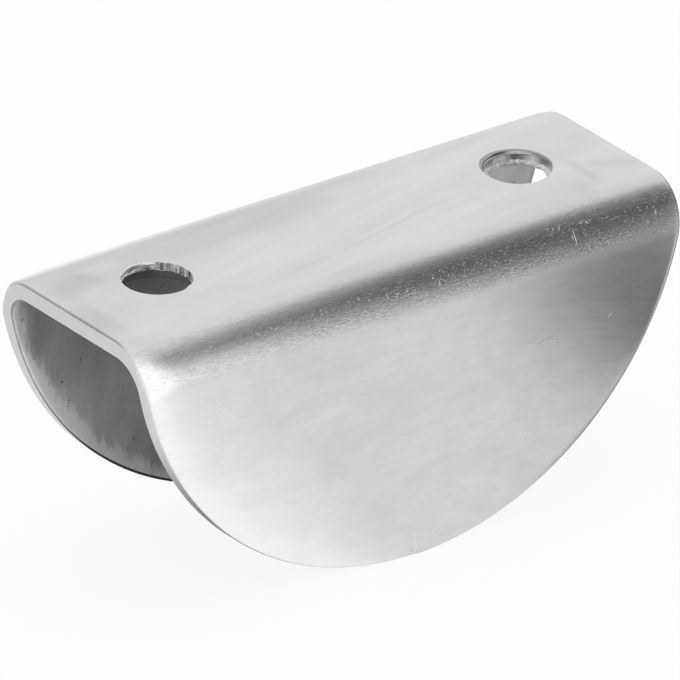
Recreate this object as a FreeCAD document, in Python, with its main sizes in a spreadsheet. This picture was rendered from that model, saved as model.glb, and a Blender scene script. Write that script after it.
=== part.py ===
import FreeCAD, Part
import math
import os
import Sketcher

from FreeCAD import Vector

# Panel clamp folded from one piece of stainless sheet, in millimetres.
# X runs along the web, -Y is the front flange, +Y the rear flange and +Z is up.
# The origin is the centre of the web's upper face, which is screwed to the support.

DRIVING_SIZES = {
    "length": 75.0,
    "width": 28.5,
    "drop": 35.5,
    "sheet": 2.5,
    "bend_inside": 3.5,
    "hole_diameter": 8.0,
    "hole_spacing": 50.0,
    "hole_row_offset": 0.5,
    "countersink_width": 1.25,
    "countersink_angle": 80.0,
    "edge_rounding": 0.5,
    "punch_rollover": 0.3,
}

START, END, CENTRE = range(1, 4)
ACROSS_AXIS, UP_AXIS = range(-1, -3, -1)
SKETCH_ORIGIN = (ACROSS_AXIS, START)
POSITION_TOLERANCE = 1e-4
QUARTER_TURN = math.pi / 2

size = dict(DRIVING_SIZES)
bend_outside = size["bend_inside"] + size["sheet"]

doc = FreeCAD.newDocument("panel_clamp")


# The sheet of driving sizes

cells = doc.addObject("Spreadsheet::Sheet", "sizes")
for row, (name, value) in enumerate(DRIVING_SIZES.items(), start=1):
    cells.set(f"A{row}", name)
    cells.set(f"B{row}", str(value))
    cells.setAlias(f"B{row}", name)
doc.recompute()

body = doc.addObject("PartDesign::Body", "folded_clamp")
body.Label = "folded_clamp"


def origin_plane(role):
    return next(plane for plane in body.Origin.OriginFeatures if plane.Role == role)


def sketch_on(role, name):
    sketch = body.newObject("Sketcher::SketchObject", name)
    sketch.AttachmentSupport = [(origin_plane(role), "")]
    sketch.MapMode = "FlatFace"
    return sketch


def constrain(sketch, *rule):
    return sketch.addConstraint(Sketcher.Constraint(*rule))


def drive(sketch, expression, *rule):
    """Adds a dimension and binds it to an expression of the driving sizes."""
    index = constrain(sketch, *rule)
    sketch.setExpression(f"Constraints[{index}]", expression)


def line(sketch, start, end):
    segment = Part.LineSegment(Vector(*start, 0), Vector(*end, 0))
    return sketch.addGeometry(segment, False)


def quarter_arc(sketch, centre, radius, start_angle):
    circle = Part.Circle(Vector(*centre, 0), Vector(0, 0, 1), radius)
    arc = Part.ArcOfCircle(circle, start_angle, start_angle + QUARTER_TURN)
    return sketch.addGeometry(arc, False)


# The folded section: web, two bends and two straight flanges

section = sketch_on("YZ_Plane", "folded_section")
half_width = size["width"] / 2
inner_half = half_width - size["sheet"]
bend_y = half_width - bend_outside

outer_left = line(section, (-half_width, -size["drop"]), (-half_width, -bend_outside))
outer_left_bend = quarter_arc(section, (-bend_y, -bend_outside), bend_outside, QUARTER_TURN)
outer_web = line(section, (-bend_y, 0), (bend_y, 0))
outer_right_bend = quarter_arc(section, (bend_y, -bend_outside), bend_outside, 0)
outer_right = line(section, (half_width, -bend_outside), (half_width, -size["drop"]))
right_edge = line(section, (half_width, -size["drop"]), (inner_half, -size["drop"]))
inner_right = line(section, (inner_half, -size["drop"]), (inner_half, -bend_outside))
inner_right_bend = quarter_arc(section, (bend_y, -bend_outside), size["bend_inside"], 0)
inner_web = line(section, (bend_y, -size["sheet"]), (-bend_y, -size["sheet"]))
inner_left_bend = quarter_arc(
    section, (-bend_y, -bend_outside), size["bend_inside"], QUARTER_TURN
)
inner_left = line(section, (-inner_half, -bend_outside), (-inner_half, -size["drop"]))
left_edge = line(section, (-inner_half, -size["drop"]), (-half_width, -size["drop"]))

constrain(section, "Tangent", outer_left, END, outer_left_bend, END)
constrain(section, "Tangent", outer_left_bend, START, outer_web, START)
constrain(section, "Tangent", outer_web, END, outer_right_bend, END)
constrain(section, "Tangent", outer_right_bend, START, outer_right, START)
constrain(section, "Coincident", outer_right, END, right_edge, START)
constrain(section, "Coincident", right_edge, END, inner_right, START)
constrain(section, "Tangent", inner_right, END, inner_right_bend, START)
constrain(section, "Tangent", inner_right_bend, END, inner_web, START)
constrain(section, "Tangent", inner_web, END, inner_left_bend, START)
constrain(section, "Tangent", inner_left_bend, END, inner_left, START)
constrain(section, "Coincident", inner_left, END, left_edge, START)
constrain(section, "Coincident", left_edge, END, outer_left, START)
for upright in (outer_left, outer_right, inner_right, inner_left):
    constrain(section, "Vertical", upright)
for level in (right_edge, inner_web, left_edge):
    constrain(section, "Horizontal", level)
constrain(section, "Coincident", outer_left_bend, CENTRE, inner_left_bend, CENTRE)
constrain(section, "Coincident", outer_right_bend, CENTRE, inner_right_bend, CENTRE)
constrain(section, "Equal", inner_left_bend, inner_right_bend)
constrain(section, "Symmetric", outer_web, START, outer_web, END, UP_AXIS)
constrain(section, "PointOnObject", outer_web, START, ACROSS_AXIS)
constrain(section, "Horizontal", outer_left, START, outer_right, END)
drive(section, "sizes.width", "DistanceX", outer_left, START, outer_right, END, size["width"])
drive(section, "sizes.drop", "DistanceY", outer_left, START, *SKETCH_ORIGIN, size["drop"])
drive(section, "sizes.sheet", "DistanceY", inner_web, END, outer_web, START, size["sheet"])
drive(section, "sizes.bend_inside", "Radius", inner_left_bend, size["bend_inside"])

fold = body.newObject("PartDesign::Pad", "fold")
fold.Profile = section
fold.SideType = "Symmetric"
fold.setExpression("Length", "sizes.length")
doc.recompute()


# The half-moon outline: a half circle as wide as the clamp is long, down to the full drop

outline = sketch_on("XZ_Plane", "half_moon_outline")
half_length = size["length"] / 2
arc_centre = (0, half_length - size["drop"])
waste_x = half_length + size["sheet"]
waste_z = -size["drop"] - size["sheet"]

half_circle = Part.Circle(Vector(*arc_centre, 0), Vector(0, 0, 1), half_length)
flange_arc = outline.addGeometry(Part.ArcOfCircle(half_circle, -math.pi, 0), False)
lowest_point = outline.addGeometry(Part.Point(Vector(0, -size["drop"], 0)), True)
right_ledge = line(outline, (half_length, arc_centre[1]), (waste_x, arc_centre[1]))
right_waste = line(outline, (waste_x, arc_centre[1]), (waste_x, waste_z))
bottom_waste = line(outline, (waste_x, waste_z), (-waste_x, waste_z))
left_waste = line(outline, (-waste_x, waste_z), (-waste_x, arc_centre[1]))
left_ledge = line(outline, (-waste_x, arc_centre[1]), (-half_length, arc_centre[1]))

loop = (flange_arc, right_ledge, right_waste, bottom_waste, left_waste, left_ledge)
for before, after in zip(loop, loop[1:] + loop[:1]):
    constrain(outline, "Coincident", before, END, after, START)
for level in (right_ledge, bottom_waste, left_ledge):
    constrain(outline, "Horizontal", level)
for upright in (right_waste, left_waste):
    constrain(outline, "Vertical", upright)
constrain(outline, "Symmetric", flange_arc, START, flange_arc, END, flange_arc, CENTRE)
constrain(outline, "Horizontal", flange_arc, START, flange_arc, END)
constrain(outline, "PointOnObject", flange_arc, CENTRE, UP_AXIS)
constrain(outline, "PointOnObject", lowest_point, START, UP_AXIS)
constrain(outline, "PointOnObject", lowest_point, START, flange_arc)
constrain(outline, "Equal", right_ledge, left_ledge)
drive(
    outline, "sizes.length", "DistanceX", flange_arc, START, flange_arc, END, size["length"]
)
drive(outline, "sizes.drop", "DistanceY", lowest_point, START, *SKETCH_ORIGIN, size["drop"])
drive(outline, "sizes.sheet", "DistanceX", right_ledge, START, right_ledge, END, size["sheet"])
drive(
    outline, "sizes.sheet", "DistanceY", right_waste, END, lowest_point, START, size["sheet"]
)

trim = body.newObject("PartDesign::Pocket", "half_moon_trim")
trim.Profile = outline
trim.Type = "ThroughAll"
trim.SideType = "Symmetric"
doc.recompute()


# The softly rounded outer edge all round the sheet, on the skin side only

def depth_below_skin(point):
    """Depth of a point under the outer skin of the folded sheet."""
    across = abs(point.y)
    if across > bend_y and point.z > -bend_outside:
        from_bend_axis = math.hypot(across - bend_y, point.z + bend_outside)
        return bend_outside - from_bend_axis
    if point.z <= -bend_outside:
        return half_width - across
    return -point.z


def runs_along_web(edge):
    first, last = edge.Vertexes[0].Point, edge.Vertexes[-1].Point
    is_line = isinstance(edge.Curve, (Part.Line, Part.LineSegment))
    return is_line and abs(last.x - first.x) > POSITION_TOLERANCE


def is_outer_rim(edge):
    middle = edge.valueAt((edge.FirstParameter + edge.LastParameter) / 2)
    on_skin = abs(depth_below_skin(middle)) < POSITION_TOLERANCE
    return on_skin and not runs_along_web(edge)


def edge_names(shape, wanted):
    return [f"Edge{i}" for i, edge in enumerate(shape.Edges, start=1) if wanted(edge)]


rounding = body.newObject("PartDesign::Fillet", "outer_edge_rounding")
rounding.Base = (trim, edge_names(trim.Shape, is_outer_rim))
rounding.setExpression("Radius", "sizes.edge_rounding")
doc.recompute()


# The two screw holes, on one row, opened out on the inside for the screws' heads

hole_centres = sketch_on("XY_Plane", "hole_centres")
hole_centres.setExpression("AttachmentOffset.Base.z", "-sizes.sheet")
hole_radius = size["hole_diameter"] / 2
hole_circles = []
for side in (-1, 1):
    centre = Vector(side * size["hole_spacing"] / 2, size["hole_row_offset"], 0)
    circle = Part.Circle(centre, Vector(0, 0, 1), hole_radius)
    hole_circles.append(hole_centres.addGeometry(circle, False))
left_hole, right_hole = hole_circles

constrain(hole_centres, "Equal", left_hole, right_hole)
constrain(hole_centres, "Symmetric", left_hole, CENTRE, right_hole, CENTRE, UP_AXIS)
drive(
    hole_centres,
    "sizes.hole_spacing",
    "DistanceX", left_hole, CENTRE, right_hole, CENTRE, size["hole_spacing"],
)
drive(
    hole_centres,
    "sizes.hole_row_offset",
    "DistanceY", *SKETCH_ORIGIN, left_hole, CENTRE, size["hole_row_offset"],
)
drive(hole_centres, "sizes.hole_diameter", "Diameter", left_hole, size["hole_diameter"])

holes = body.newObject("PartDesign::Hole", "screw_holes")
holes.Profile = hole_centres
holes.DepthType = "ThroughAll"
holes.Reversed = True
holes.HoleCutType = "Countersink"
holes.setExpression("Diameter", "sizes.hole_diameter")
holes.setExpression("HoleCutDiameter", "sizes.hole_diameter + 2 * sizes.countersink_width")
holes.setExpression("HoleCutCountersinkAngle", "sizes.countersink_angle")
doc.recompute()


# The rolled-over rim that the punch leaves where it enters

def is_punched_rim(edge):
    is_round = isinstance(edge.Curve, Part.Circle)
    on_face = abs(edge.BoundBox.ZMax) < POSITION_TOLERANCE
    is_flat = edge.BoundBox.ZLength < POSITION_TOLERANCE
    return is_round and on_face and is_flat and edge.isClosed()


rollover = body.newObject("PartDesign::Fillet", "punch_rollover")
rollover.Base = (holes, edge_names(holes.Shape, is_punched_rim))
rollover.setExpression("Radius", "sizes.punch_rollover")
body.Tip = rollover
doc.recompute()


# Every feature has to be sound, and every cut has to take metal away

for item in doc.Objects:
    if "Invalid" in item.State or "Error" in item.State:
        raise RuntimeError(f"{item.Label} did not rebuild: {item.State}")

steps = (fold, trim, rounding, holes, rollover)
for before, after in zip(steps, steps[1:]):
    if after.Shape.Volume >= before.Shape.Volume:
        raise RuntimeError(f"{after.Label} removed nothing")

if body.Shape.isNull() or not body.Shape.isValid() or len(body.Shape.Solids) != 1:
    raise RuntimeError("the clamp is not one sound solid")

os.makedirs("parts", exist_ok=True)
body.Shape.exportStep(f"parts/{body.Label}.step")

box = body.Shape.optimalBoundingBox()
print(f"clamp {box.XLength:.2f} x {box.YLength:.2f} x {box.ZLength:.2f} mm")
print(f"volume {body.Shape.Volume:.1f} mm3, {len(body.Shape.Faces)} faces")
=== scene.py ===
import math

import bpy
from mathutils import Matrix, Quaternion, Vector, noise


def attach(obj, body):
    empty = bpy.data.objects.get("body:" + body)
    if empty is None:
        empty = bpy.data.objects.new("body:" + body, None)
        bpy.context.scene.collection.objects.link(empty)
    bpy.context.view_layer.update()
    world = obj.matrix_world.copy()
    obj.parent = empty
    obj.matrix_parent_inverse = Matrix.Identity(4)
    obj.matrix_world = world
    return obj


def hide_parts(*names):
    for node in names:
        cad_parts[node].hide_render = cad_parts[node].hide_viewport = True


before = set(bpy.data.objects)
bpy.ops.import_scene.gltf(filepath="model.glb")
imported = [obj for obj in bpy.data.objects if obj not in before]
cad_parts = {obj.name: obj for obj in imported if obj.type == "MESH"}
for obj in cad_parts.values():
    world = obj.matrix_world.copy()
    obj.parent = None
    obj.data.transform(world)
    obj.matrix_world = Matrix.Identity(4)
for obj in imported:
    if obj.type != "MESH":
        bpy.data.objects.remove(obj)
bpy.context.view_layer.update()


# The folded sheet: one blank of 2.5 mm stainless steel, a half moon at each side of a
# straight web, folded over a 3.5 mm tool so that the two flanges hang down face to face.
# The edges on the outer skin are rounded, and two screw holes are punched through the web.

MM = 0.001
LENGTH, WIDTH, DROP = 75.0, 28.5, 35.5
SHEET = 2.5
BEND_INSIDE = 3.5
BEND_OUTSIDE = BEND_INSIDE + SHEET
BEND_Y = WIDTH / 2 - BEND_OUTSIDE
MOON_RADIUS = LENGTH / 2
MOON_Z = MOON_RADIUS - DROP
OUTER_EDGE, INNER_EDGE = 0.5, 0.12
FLANGE_ROWS, BEND_ROWS, WEB_ROWS = 40, 50, 32


def section_rows():
    """Points, outward ways and fold angles of the skin, from one flange's foot to the other's."""
    rows = []
    flange_top = math.asin((-BEND_OUTSIDE - MOON_Z) / (MOON_RADIUS - OUTER_EDGE))
    for step in range(FLANGE_ROWS):
        turn = -math.pi / 2 + (flange_top + math.pi / 2) * step / FLANGE_ROWS
        z = MOON_Z + (MOON_RADIUS - OUTER_EDGE) * math.sin(turn)
        rows.append((Vector((0, -WIDTH / 2, z)), Vector((0, -1, 0)), 90))
    bend_centre = Vector((0, -BEND_Y, -BEND_OUTSIDE))
    for step in range(BEND_ROWS):
        angle = math.radians(90 * (1 - step / BEND_ROWS))
        out = Vector((0, -math.sin(angle), math.cos(angle)))
        rows.append((bend_centre + out * BEND_OUTSIDE, out, math.degrees(angle)))
    web = [
        (Vector((0, -BEND_Y + 2 * BEND_Y * step / WEB_ROWS, 0)), Vector((0, 0, 1)), 0)
        for step in range(WEB_ROWS + 1)
    ]
    far_side = [
        (Vector((0, -point.y, point.z)), Vector((0, -out.y, out.z)), angle)
        for point, out, angle in reversed(rows)
    ]
    return rows + web + far_side


# Polishing has drawn the skin down towards its rim. Each fall is a depth, and the distance
# from the rim over which it fades. The bends' fall is deepest at one angle of the fold.
EDGE_FALL, EDGE_FALL_REACH = 0.14, 3.5
RIM_FALL, RIM_FALL_REACH = 0.06, 0.6
BEND_FALL, BEND_FALL_REACH = 0.54, 1.45
BEND_FALL_AT, BEND_FALL_SPREAD = 64, 26
RIGHT_RIM_FALL, RIGHT_RIM_REACH = 0.14, 0.42
RIGHT_SHARE = 0.2
SLOPE_STEP = 0.02


def fall(distance, angle, side):
    """How far the skin drops this far from its rim: more on the bends, less at the right end."""
    bent = math.exp(-((angle - BEND_FALL_AT) / BEND_FALL_SPREAD) ** 2)
    soft = EDGE_FALL * math.exp(-distance / EDGE_FALL_REACH)
    flared = BEND_FALL * bent * math.exp(-distance / BEND_FALL_REACH)
    if side > 0:
        rim = RIGHT_RIM_FALL * math.exp(-distance / RIGHT_RIM_REACH)
        return RIGHT_SHARE * (soft + flared) + rim
    return soft + flared + RIM_FALL * math.exp(-distance / RIM_FALL_REACH)


def fall_slope(angle, side):
    dropped = fall(0, angle, side) - fall(SLOPE_STEP, angle, side)
    return math.atan(dropped / SLOPE_STEP)


ARC_STEPS, CORNER_STEPS = 6, 2
FACE_SHARES = (0.06, 0.94)


def edge_ball(centre, radius, side):
    """A ball that rounds the edge where this row meets the half moon, and its way outwards."""
    reach = MOON_RADIUS - radius
    lift = centre.z - MOON_Z
    x = side * math.sqrt(max(reach * reach - lift * lift, 0))
    return Vector((x, centre.y, centre.z)), Vector((x, 0, lift)).normalized()


def rim_profile(point, out, angle, side):
    """The cut edge at one row's end: outer rounding, cut face and inner corner."""
    outer, face = edge_ball(point - out * OUTER_EDGE, OUTER_EDGE, side)
    outer = outer - out * fall(0, angle, side)
    start = fall_slope(angle, side) / (math.pi / 2)
    rounding = [
        outer + out.slerp(face, start + (1 - start) * step / ARC_STEPS) * OUTER_EDGE
        for step in range(ARC_STEPS + 1)
    ]
    inner, low_face = edge_ball(point - out * (SHEET - INNER_EDGE), INNER_EDGE, side)
    corner = [
        inner + low_face.slerp(-out, step / CORNER_STEPS) * INNER_EDGE
        for step in range(CORNER_STEPS + 1)
    ]
    cut_face = [rounding[-1].lerp(corner[0], share) for share in FACE_SHARES]
    return rounding + cut_face + corner


rows = section_rows()
left_ends = [rim_profile(point, out, angle, -1) for point, out, angle in rows]
right_ends = [rim_profile(point, out, angle, 1) for point, out, angle in rows]
PROFILE_STEPS = len(left_ends[0])

# The web's grid is left open round each hole, 8 mm to its left and right, over the web's width.
HOLE_X, HOLE_Y, HOLE_RADIUS = 25.0, 0.5, 4.0
HOLE_FIELD = 8.0
END_COLUMNS, FIELD_COLUMNS, MIDDLE_COLUMNS = 8, 32, 64
WEB_REACH = MOON_RADIUS - OUTER_EDGE


def column_shares():
    """Places of the lengthwise columns, as shares of a row's half length."""
    left, right = HOLE_X - HOLE_FIELD, HOLE_X + HOLE_FIELD
    stops = (
        (-WEB_REACH, -right, END_COLUMNS), (-right, -left, FIELD_COLUMNS),
        (-left, left, MIDDLE_COLUMNS), (left, right, FIELD_COLUMNS),
        (right, WEB_REACH, END_COLUMNS),
    )
    places = [-WEB_REACH]
    for start, end, count in stops:
        places += [start + (end - start) * (k + 1) / count for k in range(count)]
    return [place / WEB_REACH for place in places]


shares = column_shares()
last_row, last_column = len(rows) - 1, len(shares) - 1
FIRST_WEB_ROW = FLANGE_ROWS + BEND_ROWS
LAST_WEB_ROW = FIRST_WEB_ROW + WEB_ROWS
SAME_PLACE = 1e-6

SKIN, EDGE, BURR, INSIDE, BORE, TORN = range(6)
vertices, bend_angles, blank_places = [], [], []
faces, face_finishes = [], []


def add_vertex(place, angle):
    """Keeps a place in millimetres, its fold angle and where it lay on the flat blank."""
    run = abs(place.y)
    if angle > 0:
        run = BEND_Y + BEND_OUTSIDE * math.radians(angle)
    if angle == 90:
        run += max(-BEND_OUTSIDE - place.z, 0)
    vertices.append(place)
    bend_angles.append(angle)
    blank_places.extend((place.x, math.copysign(run, place.y), 0))
    return len(vertices) - 1


def add_face(corners, finish):
    """Keeps a face, without the corners that fall together at a flange's foot."""
    distinct = list(dict.fromkeys(corners))
    if len(distinct) > 2:
        faces.append(distinct)
        face_finishes.append(finish)


def skin_grid(edge_step, lift, polished):
    """One side of the sheet as rows of vertices, whose ends belong to the cut edge."""
    grid = []
    for (point, out, angle), left, right in zip(rows, left_ends, right_ends):
        reach = right[edge_step].x
        rim_lift = point.z - out.z * OUTER_EDGE - MOON_Z
        line = []
        for share in shares:
            x = share * (reach if share > 0 else -left[edge_step].x)
            from_rim = max(MOON_RADIUS - OUTER_EDGE - math.hypot(x, rim_lift), 0)
            drop = fall(from_rim, angle, 1 if x > 0 else -1) if polished else 0
            line.append(Vector((x, 0, 0)) + point + out * lift - out * drop)
        if reach < SAME_PLACE:
            grid.append([add_vertex(line[0], angle)] * len(shares))
        else:
            grid.append([add_vertex(place, angle) for place in line])
    return grid


def hole_field_columns(side):
    start = END_COLUMNS if side < 0 else END_COLUMNS + FIELD_COLUMNS + MIDDLE_COLUMNS
    return start, start + FIELD_COLUMNS


def inside_hole_field(row, column):
    on_web = FIRST_WEB_ROW <= row < LAST_WEB_ROW
    fields = (hole_field_columns(side) for side in (-1, 1))
    return on_web and any(start <= column < end for start, end in fields)


outer_grid = skin_grid(0, 0, True)
inner_grid = skin_grid(PROFILE_STEPS - 1, -SHEET, False)

for grid, finish, turned_over in ((outer_grid, SKIN, False), (inner_grid, INSIDE, True)):
    for row in range(last_row):
        for column in range(last_column):
            if inside_hole_field(row, column):
                continue
            corners = [
                grid[row][column], grid[row][column + 1],
                grid[row + 1][column + 1], grid[row + 1][column],
            ]
            add_face(corners[::-1] if turned_over else corners, finish)

# The cut edge joins the two sides at each end. The ends share their bands at a flange's foot.
edge_finishes = [SKIN] * ARC_STEPS + [EDGE] * (len(FACE_SHARES) + 1) + [BURR] * CORNER_STEPS
left_bands, right_bands = [], []

for side, end, profiles, bands in (
    (-1, 0, left_ends, left_bands), (1, last_column, right_ends, right_bands),
):
    for row, ((point, out, angle), profile) in enumerate(zip(rows, profiles)):
        if side > 0 and abs(profile[0].x) < SAME_PLACE:
            bands.append(left_bands[row])
            continue
        between = [add_vertex(place, angle) for place in profile[1:-1]]
        bands.append([outer_grid[row][end]] + between + [inner_grid[row][end]])
    for row in range(last_row):
        for step, finish in enumerate(edge_finishes):
            corners = [
                bands[row][step], bands[row + 1][step],
                bands[row + 1][step + 1], bands[row][step + 1],
            ]
            add_face(corners if side < 0 else corners[::-1], finish)

# The screw holes, as the punch left them. Drift is how far the punch ran off. The rim's roll
# has a least width and depth and what it gains towards roll_at. Depths are the ends of the
# smooth land and of the torn break, and differ on the left. The land is torn too where it is
# scored, between two angles. Chips are a direction, a spread in degrees and a depth.
HOLES = (
    dict(
        side=-1, drift=(0.1, 0.35), roll_width=(0.05, 0.17), roll_depth=(0.06, 0.08),
        roll_at=92, roll_spread=38, ledge=0.0, depths=(0.85, 1.0), left_depths=(0.425, 0.78),
        tear=0.1, scored=(-60, 54), chips=(
            (62, 60, 0.3), (53, 3.5, 0.1), (-62, 10, -0.14), (20, 9, 0.05), (-8, 6, 0.06),
            (140, 6, 0.05),
        ),
    ),
    dict(
        side=1, drift=(-0.3, 0.0), roll_width=(0.12, 0.26), roll_depth=(0.15, 0.12),
        roll_at=100, roll_spread=62, ledge=0.05, depths=(1.05, 1.65), left_depths=(1.05, 1.65),
        tear=0.34, scored=(0, 0), chips=(
            (74, 52, 0.36), (-118, 48, 0.45), (158, 7, 0.06), (28, 6, 0.08), (122, 5, 0.05),
        ),
    ),
)
LEFT_FROM, LEFT_TO = 54, -120
RIM_WEAR = 0.03
CHIP_BELOW_RIM = 0.6
LEDGE_DEPTH = 0.05
LAND_TOP, LAND_FOOT = (0.07, 0.11), (0.06, 0)
LAND_STEPS = len(LAND_TOP + LAND_FOOT)
LAND_RAGGED, LAND_FINE, BREAK_FINE = 0.14, 0.16, 0.1
LEAST_BREAK = 0.15
BULGE_PITTED, BREAK_PITTED = 1.4, 0.12
COUNTERSINK_WIDTH, COUNTERSINK_PITTED = 1.25, 0.2
LEDGE_STEPS, TEAR_STEPS, COUNTERSINK_STEPS = 2, 8, 8
FIELD_RINGS = (0.04, 0.12, 0.26, 0.48, 0.74)


def wear(spoke, waves, depth):
    """Smooth unevenness round a hole, from about -1 to 1; waves is how fine it is."""
    return noise.noise(Vector((spoke.x * waves, spoke.y * waves, depth)))


def shares_of(count):
    return [step / count for step in range(1, count + 1)]


def hole_wall(hole, spoke, degrees):
    """Radii and heights down a hole: rolled rim, ledge, land, torn break and countersink."""
    side = hole["side"]
    chipped = sum(
        depth * math.exp(-((degrees - at) / spread) ** 2) for at, spread, depth in hole["chips"]
    )
    from_roll = (degrees - hole["roll_at"] + 180) % 360 - 180
    rolled = math.exp(-(from_roll / hole["roll_spread"]) ** 2)
    width, depth = (
        least + gain * rolled for least, gain in (hole["roll_width"], hole["roll_depth"])
    )
    on_left = degrees > LEFT_FROM or degrees < LEFT_TO
    land, opened = hole["left_depths"] if on_left else hole["depths"]
    ragged = wear(spoke, 5, side * 3.1)
    fine = wear(spoke, 19, side * 7.7)
    land += LAND_RAGGED * ragged + LAND_FINE * fine
    opened = max(opened + BREAK_FINE * fine, land + LEAST_BREAK)

    rim = HOLE_RADIUS + RIM_WEAR + chipped
    ledge = hole["ledge"] * rolled
    bore = rim - width - ledge - chipped * CHIP_BELOW_RIM
    wall = [(rim, 0)]
    for share in shares_of(ARC_STEPS):
        turn = math.pi / 2 * share
        wall.append((rim - width * math.sin(turn), -depth * (1 - math.cos(turn))))
    for share in shares_of(LEDGE_STEPS):
        wall.append((rim - width - ledge * share, -depth - LEDGE_DEPTH * share))
    wall += [(bore, -depth - below) for below in LAND_TOP]
    wall += [(bore, -land + above) for above in LAND_FOOT]
    for share in shares_of(TEAR_STEPS):
        z = -land - (opened - land) * share
        pitted = wear(spoke, 16, z * 4 + side)
        bulge = hole["tear"] * math.sin(math.pi * share) * (1 + BULGE_PITTED * pitted)
        wall.append((bore - bulge + BREAK_PITTED * pitted * share, z))
    for share in shares_of(COUNTERSINK_STEPS):
        z = -opened - (SHEET - opened) * share
        pitted = wear(spoke, 11, z * 2.2 + side)
        opening = COUNTERSINK_WIDTH * share + COUNTERSINK_PITTED * pitted * (1 - share)
        wall.append((bore + opening, z))
    return wall


def hole_spoke(hole, centre, degrees, top, low):
    """Vertices from the outer skin to the hole, down its wall and out along the inner side."""
    angle = math.radians(degrees)
    spoke = Vector((math.cos(angle), math.sin(angle), 0))
    wall = [
        centre + spoke * radius + Vector((0, 0, z))
        for radius, z in hole_wall(hole, spoke, degrees)
    ]
    outer = [wall[0].lerp(vertices[top], share) for share in reversed(FIELD_RINGS)]
    inner = [wall[-1].lerp(vertices[low], share) for share in FIELD_RINGS]
    return [top] + [add_vertex(place, 0) for place in outer + wall + inner] + [low]


def field_border(grid, side):
    """The loop of grid vertices round a hole, counter-clockwise seen from above."""
    start, end = hole_field_columns(side)
    loop = [grid[FIRST_WEB_ROW][column] for column in range(start, end)]
    loop += [grid[row][end] for row in range(FIRST_WEB_ROW, LAST_WEB_ROW)]
    loop += [grid[LAST_WEB_ROW][column] for column in range(end, start, -1)]
    loop += [grid[row][start] for row in range(LAST_WEB_ROW, FIRST_WEB_ROW, -1)]
    return loop


spoke_finishes = [SKIN] * (len(FIELD_RINGS) + 1 + ARC_STEPS + LEDGE_STEPS) + [BORE] * LAND_STEPS
spoke_finishes += [TORN] * (TEAR_STEPS + COUNTERSINK_STEPS) + [INSIDE] * (len(FIELD_RINGS) + 1)

for hole in HOLES:
    side = hole["side"]
    drift_x, drift_y = hole["drift"]
    centre = Vector((side * HOLE_X + drift_x, HOLE_Y + drift_y, 0))
    scored_from, scored_to = hole["scored"]
    spokes, scored = [], []
    for top, low in zip(field_border(outer_grid, side), field_border(inner_grid, side)):
        away = vertices[top] - centre
        degrees = math.degrees(math.atan2(away.y, away.x))
        spokes.append(hole_spoke(hole, centre, degrees, top, low))
        scored.append(scored_from < degrees < scored_to)
    for k, here in enumerate(spokes):
        there = spokes[(k + 1) % len(spokes)]
        for step, finish in enumerate(spoke_finishes):
            if finish == BORE and scored[k]:
                finish = TORN
            add_face([here[step], there[step], there[step + 1], here[step + 1]], finish)

mesh = bpy.data.meshes.new("folded_sheet")
mesh.from_pydata([tuple(place * MM) for place in vertices], [], faces)
mesh.polygons.foreach_set("material_index", face_finishes)
mesh.polygons.foreach_set("use_smooth", [True] * len(faces))
mesh.attributes.new("bend_angle", "FLOAT", "POINT").data.foreach_set("value", bend_angles)
on_blank = mesh.attributes.new("on_blank", "FLOAT_VECTOR", "POINT")
on_blank.data.foreach_set("vector", blank_places)
mesh.update()

sheet = bpy.data.objects.new("folded_sheet", mesh)
bpy.context.scene.collection.objects.link(sheet)


class Amount:
    """A number that a material's nodes work out at each point of the surface."""

    maths = "ShaderNodeMath"

    def __init__(self, nodes, socket):
        self.nodes = nodes
        self.socket = socket

    def joined(self, operation, first, second):
        node = self.nodes.add(self.maths, first, second)
        node.operation = operation
        return type(self)(self.nodes, node.outputs[0])

    def __add__(self, other):
        return self.joined("ADD", self, other)

    def __sub__(self, other):
        return self.joined("SUBTRACT", self, other)

    def __rsub__(self, other):
        return self.joined("SUBTRACT", other, self)

    def __mul__(self, other):
        return self.joined("MULTIPLY", self, other)

    __radd__ = __add__
    __rmul__ = __mul__

    def or_more(self, other):
        return self.joined("MAXIMUM", self, other)

    def size(self):
        node = self.nodes.add("ShaderNodeMath", self)
        node.operation = "ABSOLUTE"
        return Amount(self.nodes, node.outputs[0])


class Place(Amount):
    """A place in millimetres that a material's nodes work out in the same way."""

    maths = "ShaderNodeVectorMath"

    def parts(self):
        node = self.nodes.add("ShaderNodeSeparateXYZ", self)
        return [Amount(self.nodes, socket) for socket in node.outputs]

    def length(self):
        node = self.nodes.add("ShaderNodeVectorMath", self)
        node.operation = "LENGTH"
        return Amount(self.nodes, node.outputs["Value"])

    def turned(self, degrees):
        node = self.nodes.add("ShaderNodeVectorRotate", Vector=self, Angle=math.radians(degrees))
        node.rotation_type = "Z_AXIS"
        return Place(self.nodes, node.outputs[0])


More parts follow.
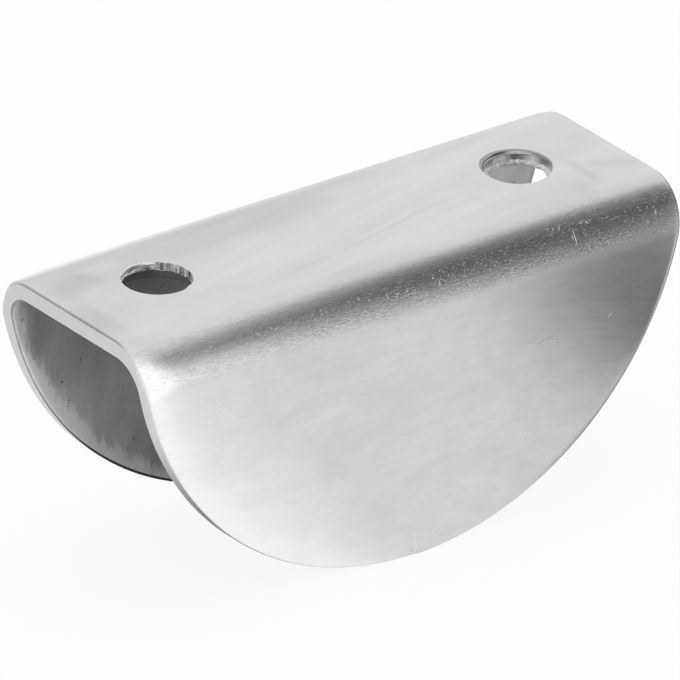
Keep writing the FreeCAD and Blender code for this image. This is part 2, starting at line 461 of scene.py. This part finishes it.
class Nodes:
    """A new material, and shorthand for wiring its nodes."""

    def __init__(self, name):
        self.material = bpy.data.materials.new(name)
        self.material.use_nodes = True
        self.tree = self.material.node_tree
        self.tree.nodes.clear()

    def add(self, kind, *values, **named_values):
        """A new node, with the values put into its first sockets or the named ones."""
        node = self.tree.nodes.new(kind)
        for socket, value in zip(node.inputs, values):
            self.put(socket, value)
        for name, value in named_values.items():
            self.put(node.inputs[name.replace("_", " ")], value)
        return node

    def put(self, socket, value):
        if isinstance(value, Amount):
            self.tree.links.new(value.socket, socket)
        elif isinstance(value, bpy.types.NodeSocket):
            self.tree.links.new(value, socket)
        else:
            socket.default_value = value

    def blank_place(self):
        """Where a point of the folded sheet lay on the flat blank."""
        node = self.add("ShaderNodeAttribute")
        node.attribute_name = "on_blank"
        return Place(self, node.outputs["Vector"])

    def fold_angle(self):
        node = self.add("ShaderNodeAttribute")
        node.attribute_name = "bend_angle"
        return Amount(self, node.outputs["Fac"])

    def place(self):
        """Where a point lies on the clamp."""
        metres = Place(self, self.add("ShaderNodeTexCoord").outputs["Object"])
        return metres * (1 / MM, 1 / MM, 1 / MM)

    def place_at(self, x, y, z):
        return Place(self, self.add("ShaderNodeCombineXYZ", x, y, z).outputs[0])

    def ease(self, value, start, end, low=0.0, high=1.0):
        """Goes smoothly from low to high while the value goes from start to end."""
        if start > end:
            start, end, low, high = end, start, high, low
        node = self.add(
            "ShaderNodeMapRange", Value=value, From_Min=start, From_Max=end, To_Min=low, To_Max=high
        )
        node.interpolation_type = "SMOOTHSTEP"
        return Amount(self, node.outputs[0])

    def cloud(self, place, stretch, detail, seed):
        """Noise from 0 to 1, with this many features to a millimetre along x, y and z."""
        moved = place * stretch + (seed, seed * 0.7, seed * 1.3)
        node = self.add("ShaderNodeTexNoise", Vector=moved, Scale=1.0, Detail=detail, Roughness=0.6)
        return Amount(self, node.outputs[0])

    def swing(self, cloud, reach):
        """Turns a noise round its middle into a swing of plus and minus the given reach."""
        return (cloud - 0.5) * (reach * 2)

    def streak(self, place, x, y, length, width, degrees):
        """A soft-edged straight mark, 1 along its middle line."""
        along, across = (place - (x, y, 0)).turned(-degrees).parts()[:2]
        return (
            self.ease(along.size(), length / 2, length / 5)
            * self.ease(across.size(), width / 2, 0)
        )

    def streaks(self, place, marks):
        """Several streaks at once, each at its full depth where they cross."""
        deepest = None
        for mark in marks:
            one = self.streak(place, *mark)
            deepest = deepest.or_more(one) if deepest else one
        return deepest

    def metal(self, grey, roughness, anisotropic, height):
        """A bare metal whose grain runs along x; height is its relief in millimetres."""
        grain = self.add("ShaderNodeTangent")
        grain.direction_type = "RADIAL"
        grain.axis = "X"
        relief = self.add("ShaderNodeBump", Strength=1.0, Distance=MM, Height=height)
        colour = self.add("ShaderNodeCombineColor", grey, grey, grey)
        shader = self.add(
            "ShaderNodeBsdfPrincipled", Base_Color=colour.outputs[0], Metallic=1.0,
            Roughness=roughness, Anisotropic=anisotropic, Tangent=grain.outputs[0],
            Normal=relief.outputs[0],
        )
        return self.finished(shader)

    def finished(self, shader):
        self.add("ShaderNodeOutputMaterial", Surface=shader.outputs[0])
        return self.material


# Marks are an x, a run from the web's middle line, a length, a width and a turn in degrees.
# A patch of tone has its depth of grey as well; below 0 it is lighter.
TONE_PATCHES = (
    (-17, 6.5, 44, 9, 0, 0.05), (-33.5, 5, 10, 7, 20, 0.1), (-36.5, -4, 5, 18, 0, 0.07),
    (34, -4.6, 9, 3.4, -24, 0.06), (30.1, -4.5, 7.5, 2.4, 90, 0.07),
    (-2, -4.4, 36, 1.6, 11, 0.03), (-28.5, 7, 7, 4, 0, -0.05),
    (2, -3.2, 30, 1.1, 12, -0.03), (27.5, -8, 5, 4, 60, 0.03),
)
SCRATCHES = (
    (22.45, -14.1, 2.3, 0.16, 88), (23.9, -12.7, 0.9, 0.14, 20), (24.6, -12.9, 0.6, 0.14, -50),
    (21.0, -12.5, 0.7, 0.12, 60), (33.7, -14.1, 0.8, 0.2, 75), (3.5, -14.3, 0.5, 0.2, 80),
    (18.1, -25.2, 5.0, 0.12, 9), (26.9, -24.7, 0.9, 0.16, 30), (1.9, -39.2, 0.7, 0.2, 30),
    (15.6, -35.2, 4.2, 0.1, 72), (-27.5, -21.6, 3.4, 0.1, 14), (28.2, -13.4, 1.8, 0.08, 4),
)
# Painted light round each hole: painted shade round the right hole, a painted highlight on the
# left hole's rolled rim. From a middle out to a reach the tone changes: how much darker it gets
# (below 0 it gets lighter), and whether that is so in the rolled rim alone.
RIM_SHADE_AND_HIGHLIGHT = (
    ((-HOLE_X + 0.1, HOLE_Y + 0.35, 0), HOLE_RADIUS + 0.25, -0.35, True),
    ((HOLE_X - 0.2, HOLE_Y + 0.36, 0), HOLE_RADIUS + 0.16, 0.48, False),
)


def ground_skin():
    """The outer skin: ground along its length, coarser where the bend has stretched it, with
    painted light round the holes and on the bends' flecks.
    """
    n = Nodes("ground_skin")
    place, angle = n.blank_place(), n.fold_angle()
    x = place.parts()[0]
    web, flange = n.ease(angle, 14, 2), n.ease(angle, 82, 90)

    # The grinding lines wander a little, and curve away towards the right on the flanges.
    past = (x - 4).or_more(0)
    swerve = past * past * 0.0075 * flange
    drift = n.swing(n.cloud(place, (0.03, 0.06, 0), 1, 0), 0.8) + swerve
    ground = place + n.place_at(0, drift, 0)
    hair = n.cloud(ground, (0.22, 4.4, 0), 3, 3)
    short = n.cloud(ground, (1.4, 6.0, 0), 4, 5)
    line = n.cloud(ground, (0.035, 0.9, 0), 2, 8)
    sweep = n.cloud(place.turned(-11), (0.035, 0.3, 0), 2, 15)
    cloud = n.cloud(place, (0.09, 0.16, 0), 3, 21)
    blotch = n.cloud(place, (0.3, 0.55, 0), 3, 27)
    grain = n.cloud(place, (4.8, 6.4, 0), 3, 33)
    fleck_and_glint = n.ease(n.cloud(place, (4.0, 5.0, 0), 1, 41), 0.66, 0.76)

    # The bends are bitten by short strokes, and their lower part has grains, and raised flecks that
    # are painted lighter as glints.
    tight = n.ease(angle, 12, 36) * n.ease(angle, 90, 74)
    peel_angle = angle - n.ease(x, 0, 30, 0, -14)
    peel = n.ease(peel_angle, 36, 62) * n.ease(angle, 86, 68) * n.ease(x, -35, 16, 0.25, 1)
    bitten = tight * n.ease(angle, 34, 54, 0.2, 1) * n.ease(x, -36, -8, 0.2, 1)

    height = n.swing(hair, 0.0014) * n.ease(angle, 4, 60, 0.3, 1) + n.swing(short, 0.02) * bitten
    height = (height + n.swing(line, 0.0012)) * n.ease(web, 0, 1, 1, 0.35)
    height += (n.swing(grain, 0.021) + fleck_and_glint * 0.07) * peel

    tone = 0.672 + n.swing(hair, 0.032) * n.ease(web, 0, 1, 1, 0.3)
    tone += n.swing(short, 0.24) * tight
    tone += n.swing(blotch, 0.07) * flange * n.ease(x, -8, 16, 0.6, 1)
    # Painted glints: the flecks are painted lighter here, besides their raised relief.
    tone += (n.swing(grain, 0.7) + fleck_and_glint * 0.35) * peel
    tone += n.swing(line, 0.03) * (1 - web * 0.6)
    tone += n.swing(sweep, 0.06) * web
    tone += n.swing(cloud, 0.06)
    # Patches darker or lighter than the skin round them.
    for *mark, depth in TONE_PATCHES:
        tone -= n.streak(ground, *mark) * depth

    spot = n.place()
    below_web = n.ease(spot.parts()[2], 0, -0.01)
    # Painted shade darkens the right hole's surround; a painted highlight lightens the left hole's
    # rolled rim.
    for middle, reach, darker, rim_alone in RIM_SHADE_AND_HIGHLIGHT:
        away = ((spot - middle) * (1, 1, 0)).length()
        painted_rim_light = n.ease(away, reach, reach - 0.1)
        if rim_alone:
            painted_rim_light *= below_web
        tone *= 1 - painted_rim_light * darker

    scratched = n.streaks(place, SCRATCHES)
    rough = n.ease(angle, 20, 36, 0.235, 0.2735) + n.swing(line, 0.02) + scratched * 0.3
    return n.metal(tone + scratched * 0.3, rough, 0.868, height + scratched * 0.04)


def cut_edge():
    """The blanked edge, tumbled smooth, with faint lines left by the punch."""
    n = Nodes("cut_edge")
    place = n.place()
    lines = n.cloud(place, (0.8, 3.0, 0.8), 3, 2)
    blotch = n.cloud(place, (0.25, 0.4, 0.25), 2, 5)
    tone = 0.655 + n.swing(lines, 0.03) + n.swing(blotch, 0.05)
    return n.metal(tone, 0.48 + n.swing(blotch, 0.06), 0.0, n.swing(lines, 0.006))


def shaded_edge_burr():
    """The dull burr line along the edge's inner corner, painted dark as shade, darkest towards the
    foot.
    """
    n = Nodes("shaded_edge_burr")
    place = n.place()
    rough = n.cloud(place, (1.6, 1.6, 1.6), 2, 7)
    # Painted shade: the burr is dark, and darker towards the foot near the floor.
    tone = n.ease(place.parts()[2], -14, -27, 0.3, 0.06)
    return n.metal(tone + n.swing(rough, 0.1), 0.5, 0.0, n.swing(rough, 0.02))


# On the inner sides marks are an x, a height, a length, a width and a turn in degrees.
NICKS = (
    (-27, -13.8, 0.62, 0.42, 60), (-28.5, -18.4, 0.5, 0.36, 20), (-19.6, -25.8, 0.6, 0.34, -40),
    (-20.4, -26.7, 0.3, 0.3, 0), (-35.2, -6.6, 0.5, 0.5, 40),
)
RUBS = ((-26.5, -17.2, 3.4, 0.24, 90), (-26.1, -18.6, 4.2, 0.2, 90))


def mill_inside():
    """The inner side: dull mill surface, mottled, lightly scuffed and dressed along its rim, with
    painted shade deep inside and along the rim's lip.
    """
    n = Nodes("mill_inside")
    blank, place = n.blank_place(), n.place()
    x, _, z = place.parts()
    mottle = n.cloud(blank, (0.35, 0.25, 0), 4, 4)
    scuff = n.cloud(blank, (1.9, 0.28, 0), 4, 9)
    pits = n.ease(n.cloud(blank, (1.1, 1.0, 0), 1, 14), 0.72, 0.79)
    from_middle = ((place - (0, 0, MOON_Z)) * (1, 0, 1)).length()
    wander = n.swing(scuff, 1.0) + n.swing(mottle, 0.9)
    dressed = n.ease(from_middle + wander, MOON_RADIUS - 2.5, MOON_RADIUS - 0.3)
    scuffed = n.ease(z, -8, -15, 0.2, 0.66) + n.swing(scuff, 0.4)
    scuffed *= n.ease(z, -20, -31, 1, 0.6)
    # Painted shade deep inside the channel, under the web and away from both ends.
    painted_shade_deep = n.ease(x, -31, -20) * n.ease(x, 26, 12) * n.ease(z, -16, -6)
    flat_place = n.place_at(x, z, 0)
    nicks, rubs = n.streaks(flat_place, NICKS), n.streaks(flat_place, RUBS)
    # Painted shade: a dark line along the inner face's rim, wider towards the foot.
    painted_shade_lip = n.ease(
        from_middle + n.ease(z, -16, -30, 0, 0.3), MOON_RADIUS - 0.1, MOON_RADIUS + 0.05
    )

    tone = n.ease(x, -37, -24, 0.6, 0.72) + n.ease(x, 12, 26, 0, 0.12)
    tone += n.swing(mottle, 0.16) + n.swing(scuff, 0.07)
    tone += dressed * scuffed - pits * 0.3
    # Painted shade deep inside.
    tone *= 1 - painted_shade_deep * 0.42
    tone += rubs * 0.13 - nicks * 0.34
    # Painted shade along the rim.
    tone *= 1 - painted_shade_lip * 0.9
    height = n.swing(mottle, 0.02) + n.swing(scuff, 0.004) - pits.or_more(nicks * 1.2) * 0.02
    return n.metal(tone, 0.37 + n.swing(mottle, 0.08) + dressed * 0.2, 0.2, height)


def burnished_bore():
    """The smooth land that the punch drags through a screw hole."""
    n = Nodes("burnished_bore")
    place = n.place()
    x, _, z = place.parts()
    drag = n.cloud(place, (3.0, 3.0, 0.3), 2, 6)
    # Darker in a band at the top of the right hole's land.
    darker_top_band = n.ease(z, -0.5, -0.36) * n.ease(x, -5, 5)
    return n.metal(0.72 + n.swing(drag, 0.22) - darker_top_band * 0.24, 0.28, 0.0, n.swing(drag, 0.02))


def torn_metal():
    """The crumbled break under the land and the coarse countersink below it."""
    n = Nodes("torn_metal")
    place = n.place()
    x, _, z = place.parts()
    crumble = n.cloud(place, (2.2, 2.2, 2.8), 4, 11)
    scores = n.cloud(place, (2.6, 2.6, 0.3), 3, 19)
    left = n.ease(x, 5, -5)
    scored = left * n.ease(x, -25.5, -23.5)
    break_foot = n.ease(x, -27, -25, -0.66, -0.95)
    shaded = left * n.ease(z - break_foot, 0.06, -0.06)
    in_light = 1 - shaded
    tone = n.ease(scored, 0, 1, 0.97, 0.52) + n.swing(crumble, 0.6) * (1 - scored)
    tone += n.swing(scores, 1.3) * scored
    tone = tone * in_light + shaded * 0.2
    return n.metal(tone, 0.42, 0.0, n.swing(crumble, 0.3) * in_light)


for finish in (
    ground_skin(), cut_edge(), shaded_edge_burr(), mill_inside(), burnished_bore(), torn_metal(),
):
    mesh.materials.append(finish)

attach(sheet, "root")
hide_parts("folded_clamp")


# The studio: a pale floor that the clamp stands on, in a white room. Soft-edged boards that
# only reflections see glow or give the metal its shades. The camera stands far off, above
# and in front of the clamp's left end.

FLOOR_REACH = 900
FLOOR_GREY = 0.9
FLOOR_GLOW = 0.9


def flat_piece(name, corners, paint):
    """A four-cornered piece of the studio. Corners are in millimetres."""
    mesh = bpy.data.meshes.new(name)
    mesh.from_pydata([tuple(Vector(corner) * MM) for corner in corners], [], [(0, 1, 2, 3)])
    mesh.materials.append(paint)
    piece = bpy.data.objects.new(name, mesh)
    bpy.context.scene.collection.objects.link(piece)
    return piece


n = Nodes("floor_paint")
matt = n.add("ShaderNodeBsdfDiffuse", Color=(FLOOR_GREY, FLOOR_GREY, FLOOR_GREY, 1))
glow = n.add("ShaderNodeEmission", Color=(1, 1, 1, 1), Strength=1.0)
light_path = n.add("ShaderNodeLightPath")
seen = Amount(n, light_path.outputs["Is Camera Ray"])
for kind in ("Is Glossy Ray", "Is Transmission Ray"):
    seen = seen.or_more(light_path.outputs[kind])
mix = n.add("ShaderNodeMixShader", seen * FLOOR_GLOW, matt.outputs[0], glow.outputs[0])
floor_paint = n.finished(mix)

flat_piece(
    "studio_floor",
    [(FLOOR_REACH * x, FLOOR_REACH * y, -DROP) for x, y in ((-1, -1), (1, -1), (1, 1), (-1, 1))],
    floor_paint,
)

UPWARD, FORWARD, BACKWARD = (0, 0, 1), (0, -1, 0), (0, 1, 0)


def board_paint(name, strength, fades, cover):
    """A glow that fades out to its sides. Fades are shares of the board's width or height."""
    n = Nodes(name)
    across, upward = Place(n, n.add("ShaderNodeUVMap").outputs[0]).parts()[:2]
    left, right, foot, top = fades
    opaque = cover
    for way, near, far in ((across, left, right), (upward, foot, top)):
        if near:
            opaque = n.ease(way, 0, near) * opaque
        if far:
            opaque = n.ease(way, 1 - far, 1, 1, 0) * opaque
    glow = n.add("ShaderNodeEmission", Strength=strength)
    clear = n.add("ShaderNodeBsdfTransparent")
    mix = n.add("ShaderNodeMixShader", opaque, clear.outputs[0], glow.outputs[0])
    return n.finished(mix)


def board(name, centre, width, height, facing, strength, edges, cover):
    """A flat board. Edges are the millimetres over which its left, right, foot and top fade."""
    facing = Vector(facing).normalized()
    across = Vector(UPWARD).cross(facing)
    across = across.normalized() if across.length > 0.01 else Vector((1, 0, 0))
    upward = facing.cross(across)
    left, right, foot, top = edges
    fades = (left / width, right / width, foot / height, top / height)
    corners = [
        Vector(centre) + across * width / 2 * a + upward * height / 2 * b
        for a, b in ((-1, -1), (1, -1), (1, 1), (-1, 1))
    ]
    piece = flat_piece(name, corners, board_paint(name, strength, fades, cover))
    board_map = piece.data.uv_layers.new(name="board")
    for loop, share in zip(board_map.data, ((0, 0), (1, 0), (1, 1), (0, 1))):
        loop.uv = share
    piece.visible_camera = False
    piece.visible_diffuse = False
    piece.visible_shadow = False


def floor_board(name, x, y, lift, width, depth, strength, edges, cover):
    """A board that lies just over the floor."""
    board(name, (x, y, -DROP + lift), width, depth, UPWARD, strength, edges, cover)


FLAG_TURN = math.radians(-29.5)
flag_way = Vector((math.cos(FLAG_TURN), math.sin(FLAG_TURN), 0))
flag_side = Vector((-flag_way.y, flag_way.x, 0))


def flag(name, left, right, foot, top, distance, strength, edges, cover):
    """A dark board that stands upright beside the clamp's right end, in front of it."""
    middle = flag_way * distance + flag_side * (left + right) / 2
    middle.z = (foot + top) / 2
    board(name, middle, right - left, top - foot, flag_way, strength, edges, cover)


flag("wide_flag", -110, 32, 28, 131, 58.8, 0.04, (49, 26, 26, 48), 0.84)
flag("main_flag", -54, 22, -8, 74, 58.4, 0.1, (9, 3, 17, 19), 1)
flag("low_flag", -35, 9, -DROP, 25, 58, 0.04, (28, 4, 0, 60), 0.9)
flag("side_flag", 11, 60, -DROP, 14, 57.6, 0.1, (4, 10, 0, 14), 1)
floor_board("floor_glow", -73, -79, 0.1, 154, 132, 1.35, (14, 18, 14, 1), 1)
board("front_glow", (-85, -130, 27), 246, 125, FORWARD, 1.6, (12, 12, 1, 12), 1)
floor_board("back_glow", 20, 90, 0.1, 110, 120, 1.4, (20, 70, 10, 14), 1)
board("horizon_glow", (75, 200, -5), 130, 60, FORWARD, 1.65, (14, 80, 1, 20), 1)
floor_board("back_shade", 105, 78, 0.09, 110, 90, 0.6, (50, 12, 14, 14), 0.9)
floor_board("under_shade", 0, 0, 0.05, 80, 28, 0.12, (10, 8, 5, 5), 1)
floor_board("foot_shade", 60, 8, 0.08, 80, 62, 0.28, (34, 12, 20, 10), 0.85)
floor_board("contact_shade", 43, -1, 0.06, 54, 40, 0.15, (20, 12, 5, 8), 0.85)
board("end_flag", (-81, 50, 20), 84, 104, (0.632, -0.709, -0.315), 0.4, (24, 34, 30, 62), 1)
board("back_rail", (-8, 20, 5), 70, 9, BACKWARD, 0.85, (20, 2, 2, 3), 1)

world = bpy.data.worlds.new("white_room")
bpy.context.scene.world = world
world.use_nodes = True
world.node_tree.nodes["Background"].inputs["Color"].default_value = (1, 1, 1, 1)
world.node_tree.nodes["Background"].inputs["Strength"].default_value = 1.0

CAMERA_TURN, CAMERA_LIFT, CAMERA_ROLL = -37.5, 26.43, 1.1
CAMERA_DISTANCE = 2500
CAMERA_AIM = Vector((0.64, 0.863, -14.866))
CAMERA_LENS = 1192.3

turn, lift = math.radians(CAMERA_TURN), math.radians(CAMERA_LIFT)
away = Vector((
    math.sin(turn) * math.cos(lift), -math.cos(turn) * math.cos(lift), math.sin(lift)
))
camera = bpy.data.objects.new("camera", bpy.data.cameras.new("camera"))
bpy.context.scene.collection.objects.link(camera)
camera.data.lens = CAMERA_LENS
camera.data.clip_end = 10
camera.location = (CAMERA_AIM + away * CAMERA_DISTANCE) * MM
level = (-away).to_track_quat("-Z", "Y")
camera.rotation_mode = "QUATERNION"
camera.rotation_quaternion = level @ Quaternion((0, 0, 1), math.radians(CAMERA_ROLL))
bpy.context.scene.camera = camera
bpy.context.view_layer.update()
bpy.context.scene.view_settings.view_transform = "Standard"
